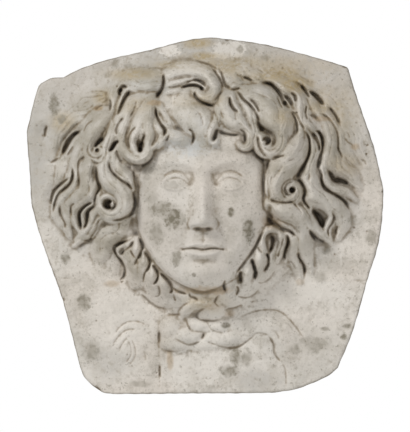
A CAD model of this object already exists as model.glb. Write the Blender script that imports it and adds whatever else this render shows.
import math

import bmesh
import bpy
import numpy as np
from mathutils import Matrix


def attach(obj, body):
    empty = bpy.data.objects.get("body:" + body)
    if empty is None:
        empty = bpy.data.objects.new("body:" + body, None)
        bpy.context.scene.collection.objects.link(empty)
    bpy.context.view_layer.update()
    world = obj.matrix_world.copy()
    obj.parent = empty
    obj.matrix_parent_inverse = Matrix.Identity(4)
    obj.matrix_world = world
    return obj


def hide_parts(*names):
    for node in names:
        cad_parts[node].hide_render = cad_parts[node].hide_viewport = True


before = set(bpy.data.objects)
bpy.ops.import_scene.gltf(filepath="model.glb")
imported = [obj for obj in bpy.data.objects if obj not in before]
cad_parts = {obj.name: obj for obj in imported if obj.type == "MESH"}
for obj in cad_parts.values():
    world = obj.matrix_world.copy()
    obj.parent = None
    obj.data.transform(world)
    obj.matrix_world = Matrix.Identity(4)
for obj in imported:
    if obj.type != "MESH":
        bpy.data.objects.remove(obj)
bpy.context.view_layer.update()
print("frame loaded")

# The carving is worked out on a squared sketch, x to the right and y down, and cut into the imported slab's box
sketch = {
    "square": 0.0015,  # metres to one square
    "centre": (205.2, 216.0),
    "left": 20.0,
    "right": 392.0,
    "top": 30.0,
    "bottom": 402.0,
    "cell": 0.5,
    "sheetCells": 620,
    "triangles": 184000,
    "seed": 7,
}

columns = np.arange(sketch["left"], sketch["right"] + 0.5 * sketch["cell"], sketch["cell"])
rows = np.arange(sketch["top"], sketch["bottom"] + 0.5 * sketch["cell"], sketch["cell"])
gridX, gridY = np.meshgrid(columns, rows)
chance = np.random.default_rng(sketch["seed"])


def smoothstep(low, high, value):
    share = np.clip((value - low) / (high - low), 0, 1)
    return share * share * (3 - 2 * share)


def bump(centreX, centreY, spreadX, spreadY, height):
    across = (gridX - centreX) / spreadX
    along = (gridY - centreY) / spreadY
    return height * np.exp(-0.5 * (across * across + along * along))


def blur(field, radius):
    spread = radius / sketch["cell"]
    reach = int(math.ceil(3 * spread))
    weights = np.exp(-0.5 * (np.arange(-reach, reach + 1) / spread) ** 2)
    weights = weights / weights.sum()
    padded = np.pad(field, reach, mode="edge")
    across = sum(w * padded[:, i:i + field.shape[1]] for i, w in enumerate(weights))
    return sum(w * across[i:i + field.shape[0], :] for i, w in enumerate(weights))


def roughField(radius):
    # Seeded unevenness of about one square of spread, in lumps of the given radius
    wide = [int((sketch[b] - sketch[a]) * 2) + 2 for a, b in (("top", "bottom"), ("left", "right"))]
    field = chance.normal(size=wide)
    step = 2 * sketch["cell"]
    rowAt = np.clip((np.arange(gridX.shape[0]) * step), 0, wide[0] - 1).astype(int)
    columnAt = np.clip((np.arange(gridX.shape[1]) * step), 0, wide[1] - 1).astype(int)
    field = blur(field[np.ix_(rowAt, columnAt)], radius)
    return field / field.std()


def smoothLine(guides, halves, step=1.2):
    guides = np.array(guides, float)
    ends = np.vstack([2 * guides[0] - guides[1], guides, 2 * guides[-1] - guides[-2]])
    pieces = []
    for before, start, stop, after in zip(ends, ends[1:], ends[2:], ends[3:]):
        count = max(2, int(np.hypot(*(stop - start)) / step))
        t = np.linspace(0, 1, count, endpoint=False)[:, None]
        bend = 2 * before - 5 * start + 4 * stop - after
        twist = 3 * start - before - 3 * stop + after
        pieces.append(start + 0.5 * ((stop - before) * t + bend * t ** 2 + twist * t ** 3))
    path = np.vstack(pieces + [guides[-1:]])
    along = np.concatenate([[0], np.cumsum(np.hypot(*np.diff(path, axis=0).T))])
    return path, np.interp(along / along[-1], np.linspace(0, 1, len(halves)), halves)


def spiral(start, half, eye, turns, stop):
    fromEye = np.array(start) - np.array(eye, float)
    radius = np.hypot(*fromEye)
    first = math.atan2(fromEye[1], fromEye[0])
    count = int(abs(turns) * math.pi * (radius + stop)) + 4
    t = np.linspace(0, 1, count)[1:]
    winding = radius + (stop - radius) * t
    angle = first + turns * 2 * math.pi * t
    path = np.column_stack([eye[0] + winding * np.cos(angle), eye[1] + winding * np.sin(angle)])
    return path, half * (winding / radius) ** 0.75


def bands(path, halves, spill=1.0):
    # Near each stretch: the signed offset in half widths, the share of the length and the half width
    steps = np.diff(path, axis=0)
    lengths = np.hypot(steps[:, 0], steps[:, 1])
    along = np.concatenate([[0], np.cumsum(lengths)])
    cell = sketch["cell"]
    for k in np.flatnonzero(lengths > 1e-6):
        reach = max(halves[k], halves[k + 1]) * spill + 1
        low = np.minimum(path[k], path[k + 1]) - reach
        high = np.maximum(path[k], path[k + 1]) + reach
        firstX, firstY = low[0] - sketch["left"], low[1] - sketch["top"]
        lastX, lastY = high[0] - sketch["left"], high[1] - sketch["top"]
        window = (slice(max(0, int(firstY / cell)), int(lastY / cell) + 2),
                  slice(max(0, int(firstX / cell)), int(lastX / cell) + 2))
        dx = gridX[window] - path[k, 0]
        dy = gridY[window] - path[k, 1]
        t = np.clip((dx * steps[k, 0] + dy * steps[k, 1]) / lengths[k] ** 2, 0, 1)
        side = np.sign(steps[k, 0] * dy - steps[k, 1] * dx)
        away = np.hypot(dx - t * steps[k, 0], dy - t * steps[k, 1])
        half = halves[k] + (halves[k + 1] - halves[k]) * t
        yield window, side * away / half, (along[k] + lengths[k] * t) / along[-1], half


def softLine(guides, halves, heights):
    path, width = smoothLine(guides, halves)
    ridge = np.zeros_like(gridX)
    for window, offset, share, _ in bands(path, width, 2.2):
        tall = np.interp(share, np.linspace(0, 1, len(heights)), heights)
        value = np.where(np.abs(offset) < 2.2, np.exp(-2 * offset * offset), 0) * tall
        ridge[window] = np.where(np.abs(value) > np.abs(ridge[window]), value, ridge[window])
    return ridge


# The slab: its worn edge, clockwise in smooth stretches between the corners
slab = {
    "thick": 20.0,
    "swell": 5.0,
    "arris": 3.0,
    "dirtyRim": 1.9,
    "edge": {
        "shoulder": [(41, 83), (50, 78), (63, 77)],
        "top": [(63, 77), (79, 69), (109, 59), (150, 49.5), (185, 40.5), (204, 37.7), (220, 37.8),
                (266, 44.5), (308, 55), (342, 65)],
        "corner": [(342, 65), (347, 67), (349, 70)],
        "upperRight": [(349, 70), (355, 90), (364.5, 118), (375, 150), (384, 190)],
        "lowerRight": [(384, 190), (382, 223), (377, 251), (368, 279), (358, 315), (350, 340), (338, 368)],
        "bottomRight": [(338, 368), (330, 375), (318, 381), (296, 389.5), (272, 393.3)],
        "bottom": [(272, 393.3), (112, 394.4)],
        "bottomLeft": [(112, 394.4), (101, 392), (86, 380), (80, 368)],
        "lowerLeft": [(80, 368), (74, 344), (61, 296), (47, 257), (38, 230), (31, 203)],
        "upperLeft": [(31, 203), (29.5, 174), (27.6, 152), (26.4, 132)],
        "leftShoulder": [(26.4, 132), (31, 112), (37, 89), (41, 83)],
    },
    "chips": [(228, 39, 3.2, 5), (384, 192, 2.6, 4), (345, 66, 3.0, 3), (97, 389, 4, 3), (64, 300, 2.5, 2),
              (300, 389, 4, 2), (150, 49, 3, 2)],
}


def slabGround():
    middle = np.hypot((gridX - sketch["centre"][0]) / 178, (gridY - sketch["centre"][1]) / 178)
    level = slab["thick"] + slab["swell"] * (0.67 - 0.5 * middle ** 2)
    return level + 0.5 * np.sin(gridX / 23 + 1) * np.sin(gridY / 31)


def edgeByAngle():
    points = np.vstack([smoothLine(guides, (1, 1), 2.0)[0][:-1] for guides in slab["edge"].values()])
    x = points[:, 0] - sketch["centre"][0]
    y = points[:, 1] - sketch["centre"][1]
    angle = np.arctan2(y, x)
    order = np.argsort(angle)
    return angle[order], np.hypot(x, y)[order]


# The face: equal thirds from hairline to brow, nose and chin
face = {
    "x": 203.0,
    "third": 62.0,
    "chin": 290.0,
    "half": 69.0,
    "depth": 53.0,
    "nose": 18.8,
    "rim": 24.0,
    "hairline": 150,  # below it the skin is open and smooth
}


def faceField():
    x, chin, third = face["x"], face["chin"], face["third"]
    nose, brow = chin - third, chin - 2 * third
    eyeY, mouth = brow + 0.27 * third, nose + third / 3
    crown = eyeY - 112
    dx = gridX - x
    below = np.clip((gridY - eyeY) / (chin - eyeY), 0, 1)
    above = np.clip((eyeY - gridY) / (eyeY - crown), 0, 1)
    jawHalf = np.clip(1 - below ** 2.6, 0, 1) ** 0.56
    browHalf = np.clip(1 - above ** 2.6, 0, 1) ** 0.5
    half = np.where(gridY > eyeY, jawHalf, browHalf)
    away = np.abs(dx) / np.maximum(face["half"] * half, 0.5)
    inside = (away < 1) & (gridY < chin) & (gridY > crown)
    levels = np.interp(gridY, [70, 103, 135, 165, 200, 230, 262, 280, 290],
                       [0.49, 0.79, 0.94, 1.0, 0.98, 0.96, 0.915, 0.83, 0.64])
    depth = blur(face["depth"] * levels, 6)
    form = face["rim"] + (depth - face["rim"]) * np.clip(1 - away ** 2.4, 0, 1) ** 0.52
    for side in (-1, 1):
        eyeX = x + side * face["half"] * 0.4
        form += bump(eyeX, eyeY - 5, 15, 8.5, -7.0)  # eye socket
        form += bump(x + side * 12.5, eyeY - 3, 5, 7, -4.5)  # hollow beside the nose's root
        form += bump(eyeX + side, eyeY + 0.5, 10.5, 6.6, 5.6)  # eyeball
        browLine = [(x + side * 8, brow + 4), (eyeX - side * 6, brow - 2.5), (eyeX + side * 8, brow - 3),
                    (eyeX + side * 24, brow + 6)]
        form += softLine(browLine, (4.5, 6, 6, 5), (0.8, 2.2, 2.0, 0.5))
        reach = np.linspace(-1, 1, 9)
        upper = [(eyeX + 14 * k, eyeY + 1.5 - 8.0 * (1 - k * k) ** 0.8 + 0.8 * k * side) for k in reach]
        lower = [(eyeX + 13 * k, eyeY + 1.5 + 6.0 * (1 - k * k) ** 0.8) for k in reach]
        form += softLine(upper, (1.5, 2.4, 1.5), (1.0, 1.7, 1.0))
        form += softLine([(px, py - 4.6) for px, py in upper[1:-1]], (1.2, 2.0, 1.2), (-0.8, -1.3, -0.8))
        form += softLine([(px, py + 2.0) for px, py in upper[1:-1]], (0.7, 1.0, 0.7), (-0.7, -1.1, -0.7))
        form += softLine(lower, (1.2, 2.0, 1.2), (0.6, 1.2, 0.6))
        form += softLine([(px, py - 1.9) for px, py in lower[1:-1]], (0.7, 0.9, 0.7), (-0.4, -0.6, -0.4))
        form += bump(x + side * 13.5, eyeY + 1.5, 1.8, 1.5, -1.8)  # inner corner
        form += bump(eyeX, eyeY + 14, 13, 4, -1.0)  # below the lower lid
        form += bump(x + side * 38, nose - 15, 17, 17, 4.0)  # cheek
        fold = [(x + side * 15, nose - 2), (x + side * 21, nose + 9), (x + side * 25, mouth + 1)]
        form += softLine(fold, (4, 5, 4), (-0.7, -0.7))
        form += bump(x + side * 58, brow - 6, 9, 14, -2)  # temple
        form += bump(x + side * 21, mouth + 0.3, 2.6, 2.2, -1.8)  # corner of the mouth
    profile = np.interp(gridY, brow + np.array([-16, -4, 8, 16, 40, 53, 59, 63]),
                        [0, 0.05, 0.18, 0.33, 0.72, 1.0, 0.87, 0])
    breadth = np.interp(gridY, brow + np.array([-10, 10, 37, 54, 64]), [14, 8.0, 8.4, 9.4, 9.0])
    form += blur(face["nose"] * profile * np.exp(-0.95 * (np.abs(dx) / breadth) ** 1.9), 1.1)
    for side in (-1, 1):
        form += bump(x + side * 10.2, nose - 5.0, 3.6, 4.4, 4.6)  # nostril's wing and the crease round it
        wing = [(x + side * 13, nose - 10), (x + side * 15.4, nose - 4), (x + side * 13, nose + 1)]
        form += softLine(wing, (1.0, 1.6, 1.0), (-0.7, -1.4, -0.7))
        form += bump(x + side * 5.4, nose + 0.2, 2.6, 1.3, -3.6)  # nostril
    form += bump(x, nose - 4.5, 6.5, 5.5, 2.2)  # tip of the nose
    form += bump(x, mouth, 21, 13, 4.5)
    form += softLine([(x, nose + 4), (x, mouth - 7)], (3.0, 3.6), (-0.9, -0.9))
    upperLip = [(x + a, mouth - b) for a, b in ((-19, 0.5), (-11, 4.2), (-4, 5.6), (0, 4.6), (4, 5.6),
                                                (11, 4.2), (19, 0.5))]
    lowerLip = [(x + a, mouth + b) for a, b in ((-16, 2.5), (-8, 5), (0, 5.8), (8, 5), (16, 2.5))]
    parting = [(x + a, mouth - b) for a, b in ((-20, -0.2), (-10, 0.9), (0, -0.5), (10, 0.9), (20, -0.2))]
    form += softLine(upperLip, (1.5, 3.4, 3.6, 3.4, 1.5), (0.6, 2.6, 3.0, 2.6, 0.6))
    form += softLine(lowerLip, (2.0, 4.2, 4.8, 4.2, 2.0), (0.6, 3.2, 3.6, 3.2, 0.6))
    form += softLine(parting, (0.9, 1.3, 1.3, 1.3, 0.9), (-3.0, -3.0))
    form += bump(x, mouth + 12.5, 11, 3.2, -2.6)  # below the lower lip
    form += bump(x, chin - 16, 15, 9.5, 6.0)  # chin
    form = np.where(inside, np.maximum(form, face["rim"] - 4), -1e3)
    return form, inside, inside & (away < 0.88) & (gridY > face["hairline"])


# The hair: a swelling mass, and the locks on it from the rim inwards
hair = {
    "middle": (203.0, 178.0),
    "reach": {"left": 166.0, "right": 160.0, "up": 136.0, "down": 112.0},
    "depth": 58.0,
    "rimShare": 0.5,
    "jaw": {"centreY": 218, "halfX": 72, "halfY": 74, "depth": 26},
    "strandDepth": 2.1,
    "slopeShare": 0.5,
    "slopeWidth": 1.15,
    "slopeReach": 5.0,
    "channelShare": 1.2,
    # Locks, from the rim inwards: route, half widths along it, crest, lift and strands, for a curl its eye,
    # turns and last radius, and for two locks how far the tip sinks
    "locks": {
        "leftShelf": ([(112, 98), (97, 103), (84, 113), (70, 121), (60, 134), (54, 150)], (5, 9, 10, 9, 3),
            5, -1, 3),
        "leftShelfTop": ([(108, 96), (92, 96), (78, 104), (66, 112)], (4, 6, 6, 2), 4, -1, 2),
        "leftFanRim": ([(110, 104), (96, 114), (86, 127), (76, 138), (68, 152), (64, 166), (61, 178),
            (56, 190)], (5, 7, 8, 8, 9, 8.5, 6, 2), 8, 0, 0),
        "leftFanSecond": ([(92, 128), (83, 142), (76, 156), (73, 172), (65, 186), (57, 198), (54, 208),
            (53, 217)], (5, 6, 6, 5, 4, 2), 9, 3, 0),
        "leftFanThird": ([(88, 146), (79, 160), (77, 176), (70, 190), (61, 202), (57, 214), (60, 226)],
            (6, 7, 8, 8, 7, 6, 2), 9, 3, 1),
        "leftFanFourth": ([(92, 156), (87, 172), (87, 188), (77, 200), (68, 210), (66, 222), (70, 236)],
            (7, 10, 11, 10, 9, 7, 3), 10, 4, 1),
        "leftFanFifth": ([(97, 180), (92, 194), (82, 204), (75, 212), (76, 224), (80, 232)],
            (4, 6, 6, 5, 4, 2), 9, 5, 0),
        "leftFanSixth": ([(100, 190), (92, 204), (84, 212), (84, 222), (81, 232)], (5, 4.5, 4, 3.5, 2),
            8, 4, 0),
        "leftFanSeventh": ([(104, 205), (95, 213), (91, 223), (84, 233), (76, 240)], (6, 6, 6, 6, 2),
            9, 3, 0),
        "leftFanLow": ([(108, 212), (98, 222), (91, 235), (82, 240), (74, 246)], (4, 4, 4, 3, 2), 8, 5, 0),
        "leftJaw": ([(125, 214), (117, 226), (108, 238), (101, 250), (98, 266)], (8, 13, 15, 13, 5),
            9, -2, 2),
        "leftTemple": ([(112, 140), (114, 154), (118, 168), (127, 180), (133, 190)], (7, 9, 9, 8, 3),
            10, 0, 2),
        "leftSmallCurl": ([(113, 112), (101, 120), (92, 132), (88, 147)], (6, 12, 12, 7), 11, 6, 1,
            (98, 151), -1.1, 1.6),
        "leftGreatCurl": ([(116, 116), (112, 134), (106, 152), (104, 168), (109, 181), (119, 188),
            (125, 197)], (4, 5.5, 6.5, 7.5, 9.5, 10.5, 9), 12, 7, 2, (110.5, 204), 1.12, 2.6),
        "topLeftWave": ([(166, 82), (148, 81), (132, 81), (120, 86), (114, 97), (114, 110)],
            (13, 14, 13, 10, 7, 3), 13, 4, 2),
        "topLeftInner": ([(138, 92), (129, 90), (124, 97), (119, 108), (116, 118)], (3, 3.5, 3.5, 2),
            8, 4, 1),
        "browLeftBundle": ([(146, 96), (130, 108), (121, 124), (121, 142), (128, 154)], (8, 12, 12, 9, 6.5),
            12, 4, 1, (140, 148), -0.45, 9.0),
        "browLeftInner": ([(150, 100), (143, 115), (137, 129), (133, 142), (136, 153)], (7, 10, 9, 6, 4),
            10, 7, 1, (142, 150), -0.42, 4.0),
        "browLeftOuter": ([(152, 98), (149, 114), (149, 127), (150, 139), (147, 147)], (6, 10, 10, 7, 3),
            10, 7, 1),
        "browLeftHeart": ([(150, 108), (146, 121), (143, 132), (142.5, 141)], (6, 9, 8, 3), 9, 5, 0),
        "browLeftTip": ([(154, 116), (159, 128), (163, 136), (160, 144), (151, 151)], (5, 7, 5, 4, 2),
            10, 5, 0),
        "centreLeft": ([(184, 96), (188, 108), (196, 118), (204, 129), (203, 145)], (13, 19, 18, 13, 8),
            11, 2, 0, None, 0, 0, 8),
        "centreMiddle": ([(159, 103), (161, 116), (167, 128), (176, 137), (188, 143)], (5, 8, 9, 8, 5),
            9, 3, 0, None, 0, 0, 6),
        "centreHook": ([(218, 106), (217, 119), (212, 130), (209.5, 139)], (5, 6, 5, 3.5), 9, 4, 1,
            (214, 141), -0.5, 2.8),
        "centreRight": ([(228, 94), (229, 108), (233, 119), (242, 126), (249, 134), (250, 143)],
            (9, 13, 12, 9, 6, 5), 11, 6, 2, (243, 143), 0.4, 4.0),
        "centreRightSide": ([(238, 94), (247, 106), (254, 120), (255, 134), (250, 146)], (7, 8, 7, 5, 2),
            9, 6, 2),
        "crownInner": ([(166, 93), (178, 91), (188, 89.5), (197, 90)], (4.5, 4.2, 3.6, 2.6), 8, 6, 0),
        "crownSecond": ([(165, 87), (178, 83), (191, 82), (200, 86)], (4.2, 4.2, 3.6, 2.2), 9, 8, 0),
        "crownCurl": ([(157, 83), (168, 76), (182, 70), (197, 71), (208, 75.5), (214, 84)],
            (4, 8, 9, 8.5, 8, 7), 11, 8, 0, (205, 89), 0.5, 8.5),
        "rightTop": ([(222, 78), (238, 75), (254, 80), (270, 88)], (9, 15, 12, 6), 11, 2, 3),
        "rightTopLow": ([(226, 88), (240, 84), (252, 86)], (6, 7, 4), 8, 5, 2),
        "rightWide": ([(238, 94), (256, 95), (270, 106), (278, 122), (280, 137)], (8, 12, 17, 18, 11),
            14, 6, 2, (267, 141), 1.05, 2.2),
        "rightSecond": ([(290, 106), (300, 122), (302, 138), (293, 154), (282, 168), (274, 184)],
            (6, 9, 13, 19, 15, 10), 13, 3, 2, (289, 190), -1.05, 2.4),
        "rightThird": ([(264, 78), (280, 84), (296, 94), (301, 108), (303, 122), (313, 134), (316, 150),
            (310, 166), (309, 182), (314, 196)], (5, 9, 9, 8, 7, 6.5, 6, 7, 9, 10), 10, 5, 2),
        "rightUnder": ([(278, 90), (287, 97), (292, 106), (287, 113)], (4, 4, 3, 1.5), 7, 3, 1),
        "rightFourth": ([(284, 76), (300, 86), (312, 98), (321, 110), (330, 122), (332, 140), (329, 158),
            (331, 174)], (6, 9, 9, 10, 10, 9, 8, 4), 10, 2, 2),
        "rightOuter": ([(308, 84), (328, 98), (340, 114), (345, 132), (346, 148), (354, 162)],
            (5, 9, 10, 11, 9, 4), 7, 1, 2),
        "rightRim": ([(352, 126), (356, 140), (360, 152), (368, 166)], (4, 6, 6, 3), 5, 1, 3),
        "rightSpur": ([(334, 142), (335, 156), (342, 168), (352, 178), (360, 188)], (6, 9, 10, 8, 3),
            9, 1, 3),
        "rightWing": ([(322, 150), (322, 168), (325, 180), (334, 189), (346, 192), (356, 200)],
            (4, 5, 6, 6, 5, 2), 9, 4, 2),
        "rightSweep": ([(308, 176), (315, 192), (328, 202), (340, 211), (343, 224), (338, 238)],
            (10, 11, 11, 9, 8, 3), 11, 5, 2),
        "rightSweepInner": ([(316, 204), (326, 208), (332, 216), (327, 228), (330, 240)], (4, 5, 5, 4, 2),
            8, 5, 1),
        "rightCheek": ([(272, 204), (284, 211), (297, 217), (305, 228), (304, 241), (306, 256), (311, 272)],
            (9, 13, 13, 11, 10, 8, 3), 17, 1, 1),
        "rightCheekLow": ([(276, 222), (287, 230), (294, 241), (294, 254), (298, 268), (300, 284)],
            (6, 9, 10, 8, 7, 3), 12, 0, 1),
        "rightNeck": ([(303, 200), (309, 213), (315, 225), (322, 234), (331, 244)], (5, 6, 7, 7, 3),
            10, 1, 1),
        "jawLeftA": ([(134, 238), (124, 245), (118, 251), (121, 260)], (2, 3, 3, 1), 7, 0, 1),
        "jawLeftB": ([(129, 244), (128, 254), (131, 266), (135, 284)], (4, 7, 9, 6), 10, 1, 2),
        "jawLeftC": ([(137, 238), (137, 248), (136, 260)], (3, 5.5, 1.5), 9, 3, 1),
        "jawLeftD": ([(143, 248), (145, 258), (144, 268), (140, 284)], (2, 5.5, 6.5, 4), 10, 2, 2),
        "jawLeftE": ([(151, 262), (153, 272), (151, 285)], (2, 5.5, 3.5), 10, 2, 1),
        "jawLeftF": ([(147, 274), (151, 286), (157, 297)], (3, 7, 4), 9, 1, 1),
        "jawLeftG": ([(159, 273), (165, 283), (167, 295)], (2, 6.5, 4), 10, 2, 1),
        "jawLeftH": ([(148, 296), (160, 302), (176, 304)], (4, 7, 5), 4, 0, 1),
        "jawRightA": ([(263, 251), (261, 242), (263, 233), (270, 229), (278, 231), (282, 240), (281, 250),
            (277, 261)], (4, 4.5, 4.5, 4.5, 4.5, 4.5, 4, 2), 10, 3, 0),
        "jawRightD": ([(287, 232), (285, 244), (285, 262)], (2, 3.5, 2), 6, 1, 1),
        "jawRightE": ([(257, 248), (259.5, 257), (259.5, 268)], (4, 7, 4), 11, 4, 0),
        "jawRightF": ([(249.5, 263), (247.5, 270), (246, 280)], (3.5, 6.5, 4), 10, 4, 0),
        "jawRightG": ([(274, 252), (268, 266), (262, 282)], (5, 9, 3), 5, 0, 2),
        "jawRightH": ([(234, 276), (231, 286), (230, 297)], (4, 7, 5), 8, 1, 0),
        "jawRightI": ([(238, 287), (248, 291), (259, 287)], (4, 6.5, 3), 5, 0, 0),
        "jawRightJ": ([(222, 299), (232, 302), (244, 300)], (4, 6.5, 3), 4, 0, 1),
    },
    # Channels between the locks: route, half widths along it and depth
    "channels": {
        "shelfDark": ([(81, 131.5), (75, 134.5), (70, 140), (66, 147), (62.5, 155)],
            (1.0, 1.9, 2.3, 1.9, 0.9), 16),
        "shelfFoot": ([(62, 156), (56, 160), (50, 163)], (0.9, 0.8, 0.6), 2.5),
        "shelfSpot": ([(74, 146), (71, 151), (68, 156)], (0.8, 1.2, 0.6), 3.5),
        "shelfRoot": ([(94, 121), (88, 125), (84, 133)], (0.6, 1.0, 1.0), 3.5),
        "shelfStain": ([(96, 110.5), (99, 107.5), (104, 105)], (1.4, 1.2, 0.6), 2.5),
        "rimScratch": ([(47, 126), (45.5, 130), (44.5, 137)], (0.7, 1.3, 0.6), 4),
        "waveSide": ([(109.5, 99), (111, 104), (110.5, 112)], (0.6, 1.3, 0.8), 5),
        "waveSecond": ([(116.5, 104), (116, 108), (115, 111)], (0.6, 1.0, 0.5), 3),
        "waveArc": ([(128, 87.5), (123, 87.5), (120, 92), (120.5, 97)], (0.8, 2.2, 2.0, 0.8), 9),
        "waveHollow": ([(130, 92), (126, 97), (123, 105), (118, 116)], (2.4, 2.2, 1.4, 0.9), 8),
        "waveRoot": ([(163.5, 74), (164, 81), (163, 88), (159.5, 94), (156, 100)],
            (1.0, 1.2, 1.8, 1.8, 0.8), 7),
        "templeLine": ([(125, 118), (120, 124), (117.5, 130), (118, 137)], (0.6, 0.9, 1.2, 0.7), 5),
        "templeLower": ([(117, 150), (118.5, 156), (123, 164)], (0.9, 1.0, 0.6), 5),
        "bundleFirst": ([(137, 101), (135.5, 109), (131, 118)], (0.5, 0.9, 0.5), 2.5),
        "bundleSecond": ([(137, 127), (131.5, 134), (129, 142), (131, 150)], (0.5, 0.9, 1.2, 0.6), 4),
        "bundleThird": ([(146, 135), (143, 142), (141, 148), (140, 154)], (0.4, 0.9, 1.7, 1.4), 6),
        "bundleFourth": ([(156, 108), (157, 116), (161, 125), (165.5, 131), (163.5, 139)],
            (0.6, 1.0, 1.6, 1.8, 0.9), 8),
        "bundleTip": ([(170, 134), (168.5, 139), (165, 142)], (0.5, 0.9, 0.6), 3),
        "bundleSide": ([(160, 143), (157, 149), (153, 152)], (0.5, 0.9, 0.6), 2.5),
        "bundleHem": ([(129, 160), (134, 164.5), (142, 164), (149, 158)], (0.8, 1.0, 1.0, 0.6), 3.5),
        "bundleDrop": ([(130, 167), (133, 171), (135, 176)], (0.6, 1.0, 0.5), 3),
        "smallWedge": ([(120, 141.5), (115, 145), (110, 152.5)], (1.2, 2.3, 1.4), 10),
        "smallOuter": ([(90, 158), (97, 163.5), (103, 162), (106, 155)], (0.6, 0.9, 1.0, 0.9), 3.5),
        "smallTop": ([(104, 139), (99, 143), (96, 148)], (2.0, 1.8, 1.2), 8),
        "stalkRight": ([(109.5, 161), (110.5, 168), (114, 174), (121, 180), (129, 185.5), (133.5, 191)],
            (0.9, 1.1, 0.9, 0.8, 1.0, 1.4), 6),
        "stalkFoot": ([(133, 192), (134.5, 203), (131.5, 213), (122, 219), (111, 220.5)],
            (1.6, 2.6, 2.2, 1.2, 0.6), 7),
        "stalkLeft": ([(97, 166), (97.5, 174), (98.5, 181), (101, 188), (97.5, 194), (95.5, 201),
            (95.5, 207)], (0.8, 1.2, 1.2, 1.3, 0.8, 0.8, 0.8), 6),
        "stalkFaint": ([(98, 164), (94, 172), (91, 182), (90, 194)], (0.5, 0.7, 0.7, 0.5), 2),
        "fanFirst": ([(71, 177), (62, 184), (55, 190), (52, 198), (51, 206)], (0.7, 1.2, 1.6, 1.2, 0.6), 7),
        "fanSecond": ([(73, 166), (73.5, 177), (70, 185), (60, 193), (56, 200), (54, 208), (53, 214)],
            (0.5, 1.1, 1.3, 1.3, 1.3, 1.0, 0.5), 7),
        "fanThird": ([(86, 157), (80.5, 161), (79, 168), (79.5, 178), (80, 187)], (0.8, 1.3, 0.8, 0.6, 0.6),
            4),
        "fanFourth": ([(61, 204), (60, 210), (62.5, 218), (65.5, 224), (65, 229)],
            (0.6, 1.0, 0.9, 0.9, 0.4), 4),
        "fanFifth": ([(76, 203), (72, 206), (71.5, 211), (72.5, 217)], (0.6, 1.0, 1.0, 0.5), 4),
        "fanSixth": ([(95, 201.5), (86, 206), (80.5, 212), (80, 219), (81.5, 226), (80.5, 231)],
            (0.8, 1.4, 1.9, 1.2, 0.9, 0.5), 8),
        "fanSeventh": ([(96, 206), (89, 210.5), (88, 217), (87, 224), (83, 229.5)],
            (0.8, 1.8, 1.8, 1.2, 0.7), 8),
        "fanEighth": ([(104, 218.5), (99.5, 221), (96.5, 229), (92, 236), (89, 240), (80, 240.5)],
            (1.2, 1.1, 1.1, 1.0, 0.8, 0.5), 5),
        "fanLast": ([(91, 241), (84, 243.5), (79, 247)], (0.6, 0.7, 0.4), 2),
        "cheekLeft": ([(134, 216), (134, 226), (137, 236)], (2.2, 3.6, 2.2), 4),
        "crownFirst": ([(185, 84), (193, 81.5), (199, 82), (203.5, 84.5), (205.5, 88)],
            (0.5, 0.7, 1.2, 1.8, 1.5), 6),
        "crownThird": ([(181, 89), (189, 86.5), (196, 86.5), (200.5, 88.5), (202, 92)],
            (0.5, 0.7, 1.2, 1.7, 1.6), 8),
        "crownUnder": ([(196, 91), (195, 96), (199, 101.5), (205, 104.5), (211.5, 106.5), (213.5, 104)],
            (0.8, 1.5, 1.3, 1.1, 1.1, 0.5), 8),
        "crownFine": ([(198, 98.5), (205, 99.5), (212, 98)], (0.4, 0.6, 0.4), 1.5),
        "crownSide": ([(213, 70), (218, 77), (222, 84), (223, 90)], (0.9, 1.2, 1.4, 0.8), 6),
        "crownBehind": ([(220.5, 71), (223, 79), (225, 86), (231, 90)], (0.6, 0.9, 1.5, 1.0), 6),
        "crownOver": ([(194, 60.5), (204, 63.5), (213, 67), (218, 70)], (0.5, 1.0, 1.0, 0.5), 2),
        "crownLow": ([(222, 92), (218, 97), (214, 102)], (0.6, 0.7, 0.4), 2.5),
        "topSpot": ([(243, 78), (248, 79.5), (252, 82)], (0.9, 1.5, 0.6), 6),
        "topRoot": ([(228, 90), (234, 91), (240, 89)], (0.9, 0.7, 0.5), 3),
        "centreParting": ([(236, 91), (239, 95), (243, 101), (249, 106), (254, 112), (257, 119),
            (259, 127)], (0.7, 1.1, 1.3, 1.3, 1.0, 1.0, 1.6), 6),
        "centreBeside": ([(249, 100), (254, 104), (257, 109), (258.5, 114)], (0.5, 1.0, 0.9, 0.5), 3.5),
        "centreHollow": ([(229.5, 98), (230, 104), (233, 110), (238, 113.5)], (0.6, 1.3, 1.5, 0.7), 7),
        "centreFine": ([(226, 112), (230, 117), (236, 121)], (0.4, 0.7, 0.4), 1.5),
        "centreEdge": ([(252, 122), (255, 128), (256.5, 135)], (0.5, 0.9, 0.9), 3.5),
        "hookStem": ([(217, 130), (215, 135), (213.5, 141)], (1.4, 1.9, 1.8), 7),
        "hookBand": ([(217, 131.5), (224, 134.5), (232, 136), (239, 135.5)], (1.7, 1.5, 1.2, 0.6), 6),
        "hookEnd": ([(238.5, 130), (242.5, 132.5), (245, 137), (244.5, 144)], (0.6, 1.5, 1.4, 0.8), 6),
        "lobeValley": ([(158, 112), (164, 121), (172, 127.5), (182, 131)], (1.0, 2.8, 3.4, 1.5), 5),
        "lobeSeam": ([(213, 111), (217, 120), (219, 129)], (0.7, 1.0, 0.8), 3),
        "lobeFine": ([(198, 112), (202, 120), (203, 128)], (0.6, 1.0, 0.6), 2),
        "notch": ([(188, 129.5), (192.5, 133), (194, 139), (192, 145)], (0.6, 1.3, 1.2, 0.7), 5),
        "thirdLong": ([(262, 83), (270, 84.5), (276, 90), (281, 98), (284.5, 104), (290, 110)],
            (0.5, 1.1, 1.4, 2.0, 2.7, 1.0), 10),
        "thirdLower": ([(290, 111), (296, 116), (299.5, 123), (304, 130)], (0.6, 0.9, 0.9, 0.9), 4),
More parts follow.
